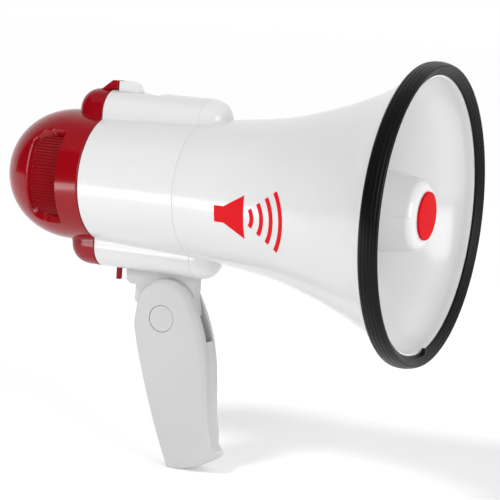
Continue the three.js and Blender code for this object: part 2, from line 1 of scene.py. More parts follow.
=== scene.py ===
"""A handheld megaphone: white horn and housing, red battery cap, folding grip.

Shapes are drawn in millimetres about the horn's axis, with x = 0 at the mouth, and are
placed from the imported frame, whose units are metres.
"""

import json
import math

import bmesh
import bpy
import numpy as np
from mathutils import Matrix, Vector


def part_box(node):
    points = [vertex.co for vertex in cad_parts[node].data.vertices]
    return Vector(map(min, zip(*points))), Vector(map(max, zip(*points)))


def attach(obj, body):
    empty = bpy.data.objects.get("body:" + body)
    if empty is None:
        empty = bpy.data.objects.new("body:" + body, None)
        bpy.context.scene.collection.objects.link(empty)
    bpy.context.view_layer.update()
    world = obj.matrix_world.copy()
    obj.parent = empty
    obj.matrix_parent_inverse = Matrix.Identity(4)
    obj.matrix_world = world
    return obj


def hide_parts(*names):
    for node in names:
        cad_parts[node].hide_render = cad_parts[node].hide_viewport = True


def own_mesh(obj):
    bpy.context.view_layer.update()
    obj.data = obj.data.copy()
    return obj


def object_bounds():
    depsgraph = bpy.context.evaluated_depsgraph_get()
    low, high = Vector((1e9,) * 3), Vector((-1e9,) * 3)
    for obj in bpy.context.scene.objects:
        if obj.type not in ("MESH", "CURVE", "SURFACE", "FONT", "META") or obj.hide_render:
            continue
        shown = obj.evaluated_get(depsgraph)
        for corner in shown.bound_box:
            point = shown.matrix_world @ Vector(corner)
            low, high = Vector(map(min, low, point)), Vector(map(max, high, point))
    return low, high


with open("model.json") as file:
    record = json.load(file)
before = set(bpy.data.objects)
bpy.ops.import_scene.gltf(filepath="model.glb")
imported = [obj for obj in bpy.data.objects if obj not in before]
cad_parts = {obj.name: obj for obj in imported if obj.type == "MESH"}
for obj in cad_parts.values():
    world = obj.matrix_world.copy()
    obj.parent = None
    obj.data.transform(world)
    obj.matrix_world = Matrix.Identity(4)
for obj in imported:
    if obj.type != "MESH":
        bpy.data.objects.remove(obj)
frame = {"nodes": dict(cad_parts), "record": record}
cad_low, cad_high = [list(corner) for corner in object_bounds()]

MM = 0.001


def size_of(node):
    """The low and high corners of a CAD node, in millimetres from the mouth's centre."""
    low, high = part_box(node)
    return [(np.array(corner) - MOUTH) / MM for corner in (low, high)]


rim_low, rim_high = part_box("bell_rim")
MOUTH = np.array([rim_high[0], 0.0, (rim_low[2] + rim_high[2]) / 2])

# The main sizes, from the frame
RIM_RADIUS = (rim_high[2] - rim_low[2]) / 2 / MM
RIM_BACK = size_of("bell_rim")[0][0]
CAP_SEAM = size_of("rear_housing")[0][0]
HORN_SEAM = size_of("horn")[0][0]
CAP_FRONT = CAP_SEAM - 0.3
GRIP_HALF = size_of("handle_half_far")[1][1]
PIVOT_LOW, PIVOT_HIGH = size_of("pivot_cap_near")
PIVOT = ((PIVOT_LOW[0] + PIVOT_HIGH[0]) / 2, (PIVOT_LOW[2] + PIVOT_HIGH[2]) / 2)

# The two ridges, one along the top and one along the bottom
RIDGE_RADIUS = 13.0
RIDGE_HEIGHT = 38.7
NOSE_LENGTH = 13.6

# The horn's side line as (x, radius), and its lip inside the rubber band
HORN_LINE = [(-140, 39.1), (-125, 41), (-105, 43.1), (-85, 46.4), (-65, 52), (-45, 59), (-25, 68.4),
             (-11.4, 76.6)]
HORN_WALL = 2.5
DRIVER_MOUNT_X = -112.0
LIP_RADIUS = 77.6
LIP_X = -4.6
RIM_SLOPE = 2.4

# The housing and the red cap
SHELL_BORE = 34.5
HOUSING_REAR_RADIUS = 37.0
DOME_RADIUS = 38.2
DOME_MIDDLE = -222.0
DOME_LENGTH = 41.7
DOME_POWER = 2.1
CAP_RIDGE_END = -207.5
GRILLE_SEAT = 10.9
WINDOW = {"x0": -236.8, "x1": -216.2, "half": math.radians(44.5), "floor": 32.4}
WINDOW_CORNERS = {"rear": 8.0, "front": 2.5}
WINDOW_EDGES = {"rear": 2.6, "front": 0.8}
WINDOW_GIRTH = 36
RIBS = 112

# The grip
PARTING_Y = 1.0
PARTING_GAP = 0.05
SLOT_HALF = 4
BRACKET_HALF = 3.65
TONGUE_RADIUS = 13.7
BOWL_RADIUS = 21.6

WORLD_NEAR = 0.3

BODY, CAP, GRIP = "body", "rear_cap", "handle"


# ---- mesh building -----------------------------------------------------------------------------


def smooth(value):
    """Eases a value from 0 to 1."""
    held = min(1.0, max(0.0, value))
    return held * held * (3 - 2 * held)


def build(name, points, faces, sharp=40):
    """A clean mesh object from points in millimetres about the horn's axis."""
    mesh = bpy.data.meshes.new(name)
    mesh.from_pydata((np.asarray(points, float) * MM + MOUTH).tolist(), [], faces)
    bm = bmesh.new()
    bm.from_mesh(mesh)
    bmesh.ops.remove_doubles(bm, verts=bm.verts, dist=1e-7)
    bmesh.ops.recalc_face_normals(bm, faces=bm.faces)
    bm.to_mesh(mesh)
    bm.free()
    mesh.shade_smooth()
    mesh.set_sharp_from_angle(angle=math.radians(sharp))
    obj = bpy.data.objects.new(name, mesh)
    bpy.context.scene.collection.objects.link(obj)
    return obj


def skin(name, rings, loop=False, sharp=40):
    """A surface through rings of points; loop joins the last ring to the first."""
    count, around, _ = rings.shape
    faces = []
    for i in range(count if loop else count - 1):
        j = (i + 1) % count
        for k in range(around):
            n = (k + 1) % around
            faces.append((i * around + k, i * around + n, j * around + n, j * around + k))
    return build(name, rings.reshape(-1, 3), faces, sharp)


def round_corners(corners, steps=5):
    """A closed outline whose corners (a, b, radius) are replaced by arcs."""
    outline = []
    count = len(corners)
    for i, (a, b, radius) in enumerate(corners):
        here = np.array([a, b], float)
        back = np.array(corners[i - 1][:2], float) - here
        ahead = np.array(corners[(i + 1) % count][:2], float) - here
        if radius <= 0:
            outline.append(here)
            continue
        back_len, ahead_len = np.linalg.norm(back), np.linalg.norm(ahead)
        back, ahead = back / back_len, ahead / ahead_len
        half = math.acos(max(-1, min(1, float(back @ ahead)))) / 2
        reach = min(radius / math.tan(half), back_len * 0.49, ahead_len * 0.49)
        arm = reach * math.tan(half)
        middle = here + (back + ahead) / np.linalg.norm(back + ahead) * math.hypot(reach, arm)
        start, end = here + back * reach - middle, here + ahead * reach - middle
        turn = math.atan2(start[0] * end[1] - start[1] * end[0], start @ end)
        for k in range(steps + 1):
            angle = turn * k / steps
            c, s = math.cos(angle), math.sin(angle)
            outline.append(middle + np.array([c * start[0] - s * start[1], s * start[0] + c * start[1]]))
    return np.array(outline)


def turned(name, profile, axis="x", centre=(0, 0), sides=128, loop=True, sharp=40):
    """A profile of (along, radius) points turned about an axis; loop closes the profile."""
    angles = np.arange(sides) * 2 * math.pi / sides
    along = np.repeat(np.array([p[0] for p in profile], float)[:, None], sides, 1)
    radius = np.array([p[1] for p in profile], float)[:, None]
    a, b = radius * np.sin(angles) + centre[0], radius * np.cos(angles) + centre[1]
    order = {"x": (along, a, b), "y": (a, along, b), "z": (a, b, along)}[axis]
    return skin(name, np.stack(order, -1), loop, sharp)


def inset(outline, distance):
    """The outline drawn in by a distance."""
    ahead = np.roll(outline, -1, 0) - outline
    ahead /= np.linalg.norm(ahead, axis=1)[:, None]
    back = np.roll(ahead, 1, 0)
    area = np.sum(outline[:, 0] * np.roll(outline[:, 1], -1) - np.roll(outline[:, 0], -1) * outline[:, 1])
    turn = 1 if area > 0 else -1
    tangent = ahead + back
    tangent /= np.linalg.norm(tangent, axis=1)[:, None]
    normal = turn * np.stack([-tangent[:, 1], tangent[:, 0]], -1)
    mitre = np.clip(np.sum(ahead * tangent, 1), 0.5, 1)[:, None]
    return outline + normal * distance / mitre


def slab(name, outline, y0, y1, edge0=0.0, edge1=0.0, steps=6, sharp=40):
    """An outline in X and Z run from y0 to y1. edge0 and edge1 round the two ends' edges, by one
    radius or by one for each point of the outline."""
    rings = []
    for edge, y, way in ((edge0, y0, 1), (edge1, y1, -1)):
        part = []
        rounded = np.max(edge) > 0
        edge = (np.zeros(len(outline)) + edge)[:, None] if rounded else 0.0
        for k in range(steps + 1 if rounded else 1):
            angle = k / steps * math.pi / 2
            ring = inset(outline, edge * (1 - math.sin(angle))) if rounded else outline
            level = (y + way * edge * (1 - math.cos(angle)) + np.zeros((len(ring), 1)))[:, 0]
            part.append(np.stack([ring[:, 0], level, ring[:, 1]], -1))
        rings += part if way == 1 else part[::-1]
    rings = np.array(rings)
    count, around, _ = rings.shape
    faces = [tuple(range(around)), tuple(range((count - 1) * around, count * around))]
    for i in range(count - 1):
        for k in range(around):
            n = (k + 1) % around
            faces.append((i * around + k, i * around + n, (i + 1) * around + n, (i + 1) * around + k))
    return build(name, rings.reshape(-1, 3), faces, sharp)


def block(name, x, y, z, edge=0.4):
    """A box with rounded edges all round."""
    obj = slab(name, np.array([(x[0], z[0]), (x[1], z[0]), (x[1], z[1]), (x[0], z[1])], float), y[0], y[1])
    if edge:
        soften(obj, edge)
    return obj


def applied(obj):
    """Turns the object's modifiers into mesh."""
    bpy.context.view_layer.update()
    mesh = bpy.data.meshes.new_from_object(obj.evaluated_get(bpy.context.evaluated_depsgraph_get()))
    obj.modifiers.clear()
    obj.data = mesh


def soften(obj, width):
    """Rounds the object's sharp edges."""
    bevel = obj.modifiers.new("edges", "BEVEL")
    bevel.width = width * MM
    bevel.segments = 3
    bevel.angle_limit = math.radians(30)
    applied(obj)
    obj.data.shade_smooth()
    obj.data.set_sharp_from_angle(angle=math.radians(40))


def cut(obj, *cutters):
    """Cuts the cutters out of the object, and removes them."""
    for cutter in cutters:
        boolean = obj.modifiers.new("cut", "BOOLEAN")
        boolean.object = cutter
        boolean.solver = "EXACT"
    applied(obj)
    for cutter in cutters:
        bpy.data.objects.remove(cutter)
    obj.data.shade_smooth()
    obj.data.set_sharp_from_angle(angle=math.radians(30))


def fit(obj, body, slot, material, *nodes):
    """Puts a piece on its body, with its finish, in place of the CAD nodes."""
    obj.data.materials.clear()
    obj.data.materials.append(material)
    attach(obj, body)
    if nodes:
        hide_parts(*nodes)
    return obj


# ---- materials ---------------------------------------------------------------------------------


def material(name, color, roughness, metallic=0.0, coat=0.0, grain=0.0, grain_scale=900.0, mottle=0.02,
             rough_swing=0.04, stretch=(1, 1, 1), specular=0.5, glow=0.0, wear=0.12):
    """A moulded or metal finish: mottled colour, uneven gloss, a fine grain and rubbed edges."""
    made = bpy.data.materials.new(name)
    made.use_nodes = True
    nodes, links = made.node_tree.nodes, made.node_tree.links
    shader = nodes["Principled BSDF"]
    shader.inputs["Metallic"].default_value = metallic
    shader.inputs["Coat Weight"].default_value = coat
    shader.inputs["Coat Roughness"].default_value = 0.08
    shader.inputs["Specular IOR Level"].default_value = specular
    shader.inputs["Emission Color"].default_value = (1, 1, 1, 1)
    shader.inputs["Emission Strength"].default_value = glow
    place = nodes.new("ShaderNodeTexCoord")
    mapping = nodes.new("ShaderNodeMapping")
    mapping.inputs["Scale"].default_value = stretch
    links.new(place.outputs["Object"], mapping.inputs["Vector"])

    def noise(scale, detail=3.0):
        node = nodes.new("ShaderNodeTexNoise")
        node.inputs["Scale"].default_value = scale
        node.inputs["Detail"].default_value = detail
        links.new(mapping.outputs["Vector"], node.inputs["Vector"])
        return node

    clouds = noise(28.0)
    shades = nodes.new("ShaderNodeValToRGB")
    shades.color_ramp.elements[0].position = 0.3
    shades.color_ramp.elements[1].position = 0.7
    shades.color_ramp.elements[0].color = [c * (1 - mottle) for c in color] + [1]
    shades.color_ramp.elements[1].color = [min(1, c * (1 + mottle)) for c in color] + [1]
    links.new(clouds.outputs["Fac"], shades.inputs["Fac"])

    corners = nodes.new("ShaderNodeNewGeometry")
    edges = nodes.new("ShaderNodeMapRange")
    edges.inputs["From Min"].default_value = 0.53
    edges.inputs["From Max"].default_value = 0.62
    links.new(corners.outputs["Pointiness"], edges.inputs["Value"])
    rubbed = nodes.new("ShaderNodeMath")
    rubbed.operation = "MULTIPLY"
    links.new(edges.outputs["Result"], rubbed.inputs[0])
    links.new(noise(240.0).outputs["Fac"], rubbed.inputs[1])
    worn = nodes.new("ShaderNodeMix")
    worn.data_type = "RGBA"
    worn.inputs["B"].default_value = [min(1, c * (1 + 3 * wear) + 0.005) for c in color] + [1]
    links.new(rubbed.outputs["Value"], worn.inputs["Factor"])
    links.new(shades.outputs["Color"], worn.inputs["A"])
    links.new(worn.outputs["Result"], shader.inputs["Base Color"])

    gloss = nodes.new("ShaderNodeMapRange")
    gloss.inputs["To Min"].default_value = max(0.02, roughness - rough_swing)
    gloss.inputs["To Max"].default_value = roughness + rough_swing
    links.new(noise(70.0).outputs["Fac"], gloss.inputs["Value"])
    dulled = nodes.new("ShaderNodeMath")
    dulled.operation = "MULTIPLY_ADD"
    dulled.inputs[1].default_value = wear
    links.new(rubbed.outputs["Value"], dulled.inputs[0])
    links.new(gloss.outputs["Result"], dulled.inputs[2])
    links.new(dulled.outputs["Value"], shader.inputs["Roughness"])

    if grain:
        bump = nodes.new("ShaderNodeBump")
        bump.inputs["Strength"].default_value = grain
        bump.inputs["Distance"].default_value = 0.0002
        links.new(noise(grain_scale, 2.0).outputs["Fac"], bump.inputs["Height"])
        links.new(bump.outputs["Normal"], shader.inputs["Normal"])
    return made


WHITE_GLOSS = material("white_gloss_abs", (0.65, 0.65, 0.654), 0.2, coat=0.25, grain=0.05, mottle=0.008)
WHITE_SATIN = material("grey_white_satin_abs", (0.46, 0.46, 0.463), 0.42, grain=0.22, grain_scale=2600,
                       mottle=0.012)
RED_GLOSS = material("red_gloss_abs", (0.25, 0.0015, 0.006), 0.15, specular=0.34, grain=0.05, mottle=0.05)
RED_SATIN = material("red_satin_abs", (0.22, 0.0015, 0.005), 0.4, specular=0.12, mottle=0.05)
RED_BADGE = material("red_badge_print", (0.58, 0.003, 0.008), 0.6, specular=0.06, grain=0.1, mottle=0.03)
RED_INK = material("red_ink", (0.60, 0.004, 0.010), 0.5, specular=0.1, grain=0.25, grain_scale=3000,
                   mottle=0.04)
RUBBER = material("black_rubber", (0.004, 0.004, 0.0042), 0.36, specular=0.14, grain=0.25,
                  grain_scale=1800, mottle=0.2, rough_swing=0.1)
BLACK_PLASTIC = material("black_plastic", (0.02, 0.02, 0.021), 0.5, grain=0.3, grain_scale=2200,
                         mottle=0.15)
STEEL = material("zinc_steel", (0.62, 0.63, 0.65), 0.32, metallic=1.0, grain=0.15, mottle=0.06,
                 stretch=(1, 1, 6))
MAGNET = material("ferrite", (0.03, 0.03, 0.032), 0.7, grain=0.5, mottle=0.2)
FILM = material("diaphragm_film", (0.55, 0.33, 0.12), 0.3, coat=0.3, grain=0.1, mottle=0.08)
COPPER = material("enamelled_copper", (0.72, 0.32, 0.12), 0.28, metallic=1.0, grain=0.6, stretch=(14, 1, 1))
BOARD = material("solder_mask", (0.02, 0.13, 0.05), 0.35, coat=0.3, grain=0.3, mottle=0.2)
CELL = material("cell_sleeve", (0.5, 0.26, 0.05), 0.3, metallic=0.6, grain=0.1, mottle=0.1)
SLEEVE = material("capacitor_sleeve", (0.02, 0.035, 0.08), 0.35, grain=0.1, mottle=0.1)

FINISHES = {
    "white_shell": WHITE_GLOSS, "grey_shell": WHITE_SATIN, "red_shell": RED_GLOSS, "red_badge": RED_BADGE,
    "black_rubber": RUBBER, "black_plastic": BLACK_PLASTIC, "steel": STEEL, "magnet": MAGNET,
    "diaphragm": FILM, "copper": COPPER, "board": BOARD, "cell": CELL, "capacitor": SLEEVE,
}


# ---- the moulded shells: a radius by distance along and angle about the axis -------------------


def around():
    """Angles from the top, closer together where the ridges meet the shells."""
    fine, coarse, span = math.radians(0.45), math.radians(1.0), math.radians(32)
    ridge = np.arange(-span, span, fine)
    side = np.arange(span, math.pi - span, coarse)
    return np.concatenate([ridge, side, ridge + math.pi, side + math.pi])


ANGLES = around()


def blend_max(a, b, width):
    """The larger of two radii, with a fillet where they cross."""
    h = np.clip(0.5 + 0.5 * (a - b) / width, 0, 1)
    return b + (a - b) * h + width * h * (1 - h)


def ridge_reach(angle, radius):
    """How far from the axis a ridge of that radius reaches, by the angle from its middle."""
    sine, cosine = np.abs(np.sin(angle)), np.cos(angle)
    wall = radius / np.maximum(sine, 1e-6)
    crown = RIDGE_HEIGHT * cosine + np.sqrt(np.maximum(radius**2 - (RIDGE_HEIGHT * sine) ** 2, 0))
    reach = np.where(wall * cosine < RIDGE_HEIGHT, wall, crown)
    return np.where(cosine > 0.5, reach, 0.0)


def with_ridges(base, angles, swell, fillet=1.6):
    """A shell's radius with the top and bottom ridges, which shrink away as swell falls to 0."""
    if swell <= 0:
        return base
    for turn in (0.0, math.pi):
        base = blend_max(ridge_reach(angles - turn, RIDGE_RADIUS * swell), base, fillet * min(1, swell * 1.5))
    return base


def nose(distance):
    """How much of the ridge's size is left at a distance past the start of its rounded end."""
    t = np.clip(distance / NOSE_LENGTH, 0, 1)
    return (1 - t**2.6) ** (1 / 2.6)


def edge_drop(distance, radius):
    """How far a rounded edge falls at a distance from the end of the shell."""
    d = min(max(distance, 0), radius)
    return radius - math.sqrt(max(radius**2 - (radius - d) ** 2, 0))


def edge_steps(radius, steps=6):
    """Distances from an end at which to put rows over a rounded edge."""
    return [radius * (1 - math.cos(k / steps * math.pi / 2)) for k in range(steps + 1)]


def ring(x, radii, angles):
    """The points of one row round the axis."""
    return np.stack([np.full(len(angles), x), radii * np.sin(angles), radii * np.cos(angles)], -1)


def shell(name, rows, wall, sharp=40):
    """A hollow shell from (x, radii) rows outside and (x, radius) rows inside."""
    return skin(name, np.array([ring(x, r, ANGLES) for x, r in rows + wall]), True, sharp)


def curve_through(points, xs):
    """A smooth curve through (x, r) points, by cubic Hermite spans."""
    px = np.array([p[0] for p in points], float)
    pr = np.array([p[1] for p in points], float)
    slope = np.gradient(pr, px)
    i = np.clip(np.searchsorted(px, xs) - 1, 0, len(px) - 2)
    h = px[i + 1] - px[i]
    t = (xs - px[i]) / h
    return ((1 + 2 * t) * (1 - t) ** 2 * pr[i] + t * (1 - t) ** 2 * h * slope[i]
            + t**2 * (3 - 2 * t) * pr[i + 1] + t**2 * (t - 1) * h * slope[i + 1])


def horn_radius(xs):
    """The horn's outside radius at each x, with the flare running on into the lip."""
    return curve_through(HORN_LINE + [(-8.5, LIP_RADIUS), (LIP_X, LIP_RADIUS)], np.asarray(xs, float))


def horn():
    """The white horn, from its seam with the housing to its lip."""
    start = HORN_SEAM
    xs = [start + d for d in edge_steps(0.2, 3)]
    xs += [start + NOSE_LENGTH * math.sin(k / 26 * math.pi / 2) for k in range(2, 27)]
    xs += list(np.linspace(start + NOSE_LENGTH + 0.4, LIP_X, 90))
    rows = []
    for x in sorted(set(xs)):
        base = np.full(len(ANGLES), float(horn_radius([x])[0]))
        radii = with_ridges(base, ANGLES, float(nose(x - start)), 1.2)
        rows.append((x, radii - edge_drop(x - start, 0.2)))
    inside = [(LIP_X, 75.2)]
    inside += [(x, float(horn_radius([x])[0]) - HORN_WALL) for x in np.linspace(-9, DRIVER_MOUNT_X, 70)]
    wall_rear, throat, bore = DRIVER_MOUNT_X - 3, 8.0, 36.6
    inside += [(DRIVER_MOUNT_X, throat), (wall_rear, throat), (wall_rear, bore), (start + 0.1, bore)]
    fit(shell("horn_shell", rows, inside), BODY, "white_shell", WHITE_GLOSS, "horn")


def scoop(x, radii, angles):
    """Lets the finger scoop ahead of the latch into the top ridge."""
    y, z = radii * np.sin(angles), radii * np.cos(angles)
    room = 1 - ((x + 176.3) / 9.2) ** 2 - (y / 7.8) ** 2
    floor = 53.2 - 5.6 * np.sqrt(np.maximum(room, 0))
    deep = (room > 0) & (z > floor) & (z > 30)
    return np.where(deep, floor / np.maximum(np.cos(angles), 0.2), radii)


def pocket(x, radii, angles, x_range, half_width, top, depth):
    """A square pocket let into a ridge. It has a floor, which the lug or the peg passes through."""
    y, z = radii * np.sin(angles), radii * np.cos(angles) * (1 if top else -1)
    inside = (np.abs(y) < half_width) & (z > 30)
    if x_range[0] < x < x_range[1]:
        return np.where(inside, radii - depth, radii)
    return radii


def housing():
    """The white housing between the cap and the horn, with pockets for the latch and the switch."""
    latch_low, latch_high = size_of("latch_button")
    slot_x = (latch_low[0] - 0.3, latch_high[0] + 0.3)
    peg_low, _ = size_of("mode_switch")
    peg_x = (peg_low[0] - 0.35, peg_low[0] + 2.7 + 3.85)
    end = HORN_SEAM - 0.06
    xs = [CAP_SEAM + d for d in edge_steps(0.9)] + [end - d for d in edge_steps(0.2, 3)]
    xs += list(np.linspace(CAP_SEAM + 0.9, end - 0.2, 100))
    xs += [edge + step for edge in (*slot_x, *peg_x) for step in (-0.03, 0.03)]
    rows = []
    for x in sorted(set(xs)):
        t = (x - CAP_SEAM) / (end - CAP_SEAM)
        base = np.full(len(ANGLES), HOUSING_REAR_RADIUS + (HORN_LINE[0][1] - HOUSING_REAR_RADIUS) * t)
        radii = with_ridges(base, ANGLES, 1.0)
        radii = radii - edge_drop(x - CAP_SEAM, 0.9) - edge_drop(end - x, 0.2)
        radii = scoop(x, radii, ANGLES)
        radii = pocket(x, radii, ANGLES, slot_x, 4.5, True, 2.6)
        radii = pocket(x, radii, ANGLES, peg_x, 1.7, False, 2.6)
        rows.append((x, radii))
    inside = [(end, SHELL_BORE), (CAP_SEAM, SHELL_BORE)]
    body = shell("rear_housing_shell", rows, inside, 35)
    fit(body, BODY, "white_shell", WHITE_GLOSS, "rear_housing")


def dome_radius(x):
    """The red cap's smooth outline."""
    if x > DOME_MIDDLE:
        t = (x - DOME_MIDDLE) / (CAP_FRONT - DOME_MIDDLE)
        return DOME_RADIUS - (DOME_RADIUS - HOUSING_REAR_RADIUS) * t**2
    t = min(1.0, (DOME_MIDDLE - x) / DOME_LENGTH)
    return DOME_RADIUS * (1 - t**DOME_POWER) ** (1 / DOME_POWER)


def windows(x, radii, angles):
    """Sinks the two side windows, square at the front and round and soft at the rear, to a floor
    that the drum's ribs come through.
    """
    middle = (WINDOW["x0"] + WINDOW["x1"]) / 2
    ahead = smooth((x - middle + 4) / 8)
    corner = WINDOW_CORNERS["rear"] + (WINDOW_CORNERS["front"] - WINDOW_CORNERS["rear"]) * ahead
    edge = WINDOW_EDGES["rear"] + (WINDOW_EDGES["front"] - WINDOW_EDGES["rear"]) * ahead
    half_x = (WINDOW["x1"] - WINDOW["x0"]) / 2 - corner
    half_s = WINDOW["half"] * WINDOW_GIRTH - corner
    from_side = np.abs(np.abs((angles + math.pi) % (2 * math.pi) - math.pi) - math.pi / 2)
    dx = abs(x - middle) - half_x
    ds = from_side * WINDOW_GIRTH - half_s
    outside = np.hypot(max(dx, 0), np.maximum(ds, 0))
    outside = outside + np.minimum(np.maximum(dx, ds), 0) - corner
    t = np.clip(-outside / edge, 0, 1)
    t = t * t * (3 - 2 * t)
    return radii + (np.minimum(WINDOW["floor"], radii) - radii) * t


def rear_cap():
    """The red dome with its two windows and its ridges, and the tab that meets the latch."""
    sunk = (GRILLE_SEAT / DOME_RADIUS) ** DOME_POWER
    last = DOME_MIDDLE - DOME_LENGTH * (1 - sunk) ** (1 / DOME_POWER)
    steep = -252
    xs = [CAP_FRONT - d for d in edge_steps(0.7)]
    xs += [CAP_RIDGE_END - NOSE_LENGTH * math.sin(k / 24 * math.pi / 2) for k in range(25)]
    xs += list(np.arange(-204.0, -236.0, -0.45)) + list(np.linspace(-236, steep, 30))
    first_turn = math.asin((DOME_MIDDLE - steep) / DOME_LENGTH)
    last_turn = math.asin((DOME_MIDDLE - last) / DOME_LENGTH)
    xs += [DOME_MIDDLE - DOME_LENGTH * math.sin(t) for t in np.linspace(first_turn, last_turn, 24)]
    rows = []
    for x in sorted(set(xs), reverse=True):
        base = np.full(len(ANGLES), dome_radius(x))
        swell = float(nose(CAP_RIDGE_END - x)) if x < CAP_RIDGE_END else 1.0
        radii = with_ridges(base, ANGLES, swell)
        radii = radii - edge_drop(CAP_FRONT - x, 0.7)
        rows.append((x, windows(x, radii, ANGLES)))
    hole = GRILLE_SEAT - 1.7
    inside = [(last + 0.2, hole), (last + 2, hole), (-246, 20.0), (CAP_FRONT, 32.6)]
    body = shell("rear_cap_shell", rows, inside, 38)
    fit(body, CAP, "red_shell", RED_GLOSS, "rear_cap")
    wedge = round_corners([(-211.2, 49.6, 0.6), (-201.6, 57.0, 0.9), (-198.1, 57.0, 0.5),
                           (-198.1, 51.8, 0.2), (-202.35, 51.2, 0.2), (-202.6, 49.6, 0.2)])
    fit(slab("latch_tab", wedge, -4.2, 4.2, 0.6, 0.6), CAP, "red_shell", RED_GLOSS)


def volume_ring():
    """The ribbed drum, whose ribs come through the windows' floor."""
    low, high = size_of("volume_ring")
    tip, deep = (high[2] - low[2]) / 2, 0.75
    samples = RIBS * 10
    angles = np.arange(samples) * 2 * math.pi / samples
    ribbed = tip - deep * (0.5 - 0.5 * np.cos(angles * RIBS)) ** 0.8
    bore = np.full(samples, tip - 1.6)
    rows = [(low[0], bore), (low[0], ribbed)]
    rows += [(x, ribbed) for x in np.linspace(low[0], high[0], 8)]
    rows += [(high[0], bore)]
    drum = skin("volume_drum", np.array([ring(x, r, angles) for x, r in rows]), True, 60)
    fit(drum, "volume_ring", "red_shell", RED_SATIN, "volume_ring")


def mic_grille():
    """The black disc at the rear end, with seven holes for the microphone."""
    low, high = size_of("mic_grille")
    back, radius = high[0], (high[2] - low[2]) / 2
    profile = round_corners([(back, 0, 0), (back, radius, 0), (back - 0.5, radius, 0.3), (back - 1.3, 7.4, 2),
                             (low[0], 0, 0)])
    grille = turned("mic_grille_disc", profile, sides=96, loop=False)
    hole_circle, hole_radius = 5.4, 1.5
    turns = [math.radians(a) for a in range(0, 360, 60)]
    holes = [(0, 0)] + [(hole_circle * math.cos(a), hole_circle * math.sin(a)) for a in turns]
    drill = [(low[0] - 2, 0), (low[0] - 2, hole_radius), (back + 2, hole_radius), (back + 2, 0)]
    cutters = [turned("hole", drill, "x", at, 32, False) for at in holes]
    cut(grille, *cutters)
    fit(grille, CAP, "black_plastic", BLACK_PLASTIC, "mic_grille")


# ---- rim, reflector cup and badge --------------------------------------------------------------


def bell_rim():
    """Black rubber band, bulging a little, with fine ridges round its outside and its front face."""
    lip = LIP_RADIUS + 0.3
    opening, shoulder_depth = 77.2, 1.6
    outside = []
    for t in np.linspace(0, 1, 60):
        x = RIM_BACK + 0.6 + (-shoulder_depth - RIM_BACK - 0.6) * t
        groove = 0.22 * (0.5 + 0.5 * math.cos(t * 2 * math.pi * 4)) ** 3
        outside.append((x, RIM_RADIUS - 0.02 - 0.7 * (2 * t - 1) ** 2 - groove))
    shoulder = outside[-1][1]
    front = []
    for t in np.linspace(0, 1, 48):
        r = shoulder - 1.2 + (opening - shoulder + 1.2) * t
        groove = 0.2 * (0.5 + 0.5 * math.cos(t * 2 * math.pi * 3)) ** 3
        front.append((-groove - RIM_SLOPE * t * t * (1.6 - 0.6 * t), r))
    turn = [(shoulder_depth * (math.sin(a) - 1), shoulder - 1.2 + 1.2 * math.cos(a))
            for a in np.linspace(0.2, 1.4, 6)]
    profile = [(RIM_BACK, lip), (RIM_BACK, outside[0][1] - 0.6)] + outside + turn + front
    profile += [(-RIM_SLOPE - 0.5, 76.6), (LIP_X + 0.8, 76.2), (LIP_X + 0.3, 76.2), (LIP_X + 0.3, lip)]
    fit(turned("bell_rim_band", profile, sides=240, sharp=50), BODY, "black_rubber", RUBBER, "bell_rim")


def rim_nub():
    """The small moulding nub inside the bottom of the rim."""
    nub = block("rim_nub", (-3.6, -1.0), (6.6, 9.4), (-76.4, -73.3), 0.6)
    fit(nub, BODY, "black_rubber", RUBBER)


def reflector_cup():
    """The white bullet inside the horn, with a moulding bead along each side."""
    face = size_of("nose_badge")[0][0] - 0.3
    shoulder = [(face - 6.2 + 6.2 * math.cos(a), 14.2 + 5.9 * math.sin(a))
                for a in np.linspace(0.08, 1.5, 12)]
    profile = [(face, 0.5), (face, 14.2)] + shoulder
    profile += [(-16, 21.0), (-22, 21.9), (-30, 22.8), (-60, 23.8), (-91.5, 24.6), (-92, 24.2), (-92, 22.8),
                (-60, 21.9), (-30, 20.8), (-14, 18.4), (-10, 14), (-9.2, 0.5)]
    sides, bead_size = 192, 0.35
    angles = np.arange(sides) * 2 * math.pi / sides
    off_side = np.abs(np.abs((angles + math.pi) % (2 * math.pi) - math.pi) - math.pi / 2)
    rings = []
    for i, (x, r) in enumerate(profile):
        outside = 3 < i < 18
        bead = bead_size * np.exp(-((off_side * r / bead_size) ** 2)) if outside else 0.0
        rings.append(ring(x, r + bead, angles))
    cup = skin("reflector_cup_shell", np.array(rings), True)
    fit(cup, BODY, "white_shell", WHITE_GLOSS, "reflector_cup")


def nose_badge():
    """The red disc on the bullet's nose."""
    low, high = size_of("nose_badge")
    radius = (high[2] - low[2]) / 2
    profile = round_corners([(low[0], 0, 0), (low[0], radius, 0), (high[0] - 0.1, radius, 0.35),
                             (high[0], 0, 0)])
    fit(turned("nose_badge_disc", profile, loop=False), BODY, "red_badge", RED_BADGE, "nose_badge")


# ---- latch and switch --------------------------------------------------------------------------


def latch_button():
    """The white lug that holds the cap's tab, with grooves for the thumb."""
    low, high = size_of("latch_button")
    outline = round_corners([(low[0], low[2], 0), (high[0], low[2], 0), (high[0], 51.8, 0.8),
                             (-186.7, 55.3, 1.6), (-189.6, high[2], 1.2), (low[0], high[2], 0.7)])
    button = slab("latch_lug", outline, low[1], high[1], 0.7, 0.7)
    grooves = [block("groove", (x - 0.3, x + 0.3), (-10, 10), (high[2] - 0.45, high[2] + 2), 0)
               for x in (-195.6, -194.0, -192.4, -190.8)]
    cut(button, *grooves)
    fit(button, "latch_button", "white_shell", WHITE_GLOSS, "latch_button")


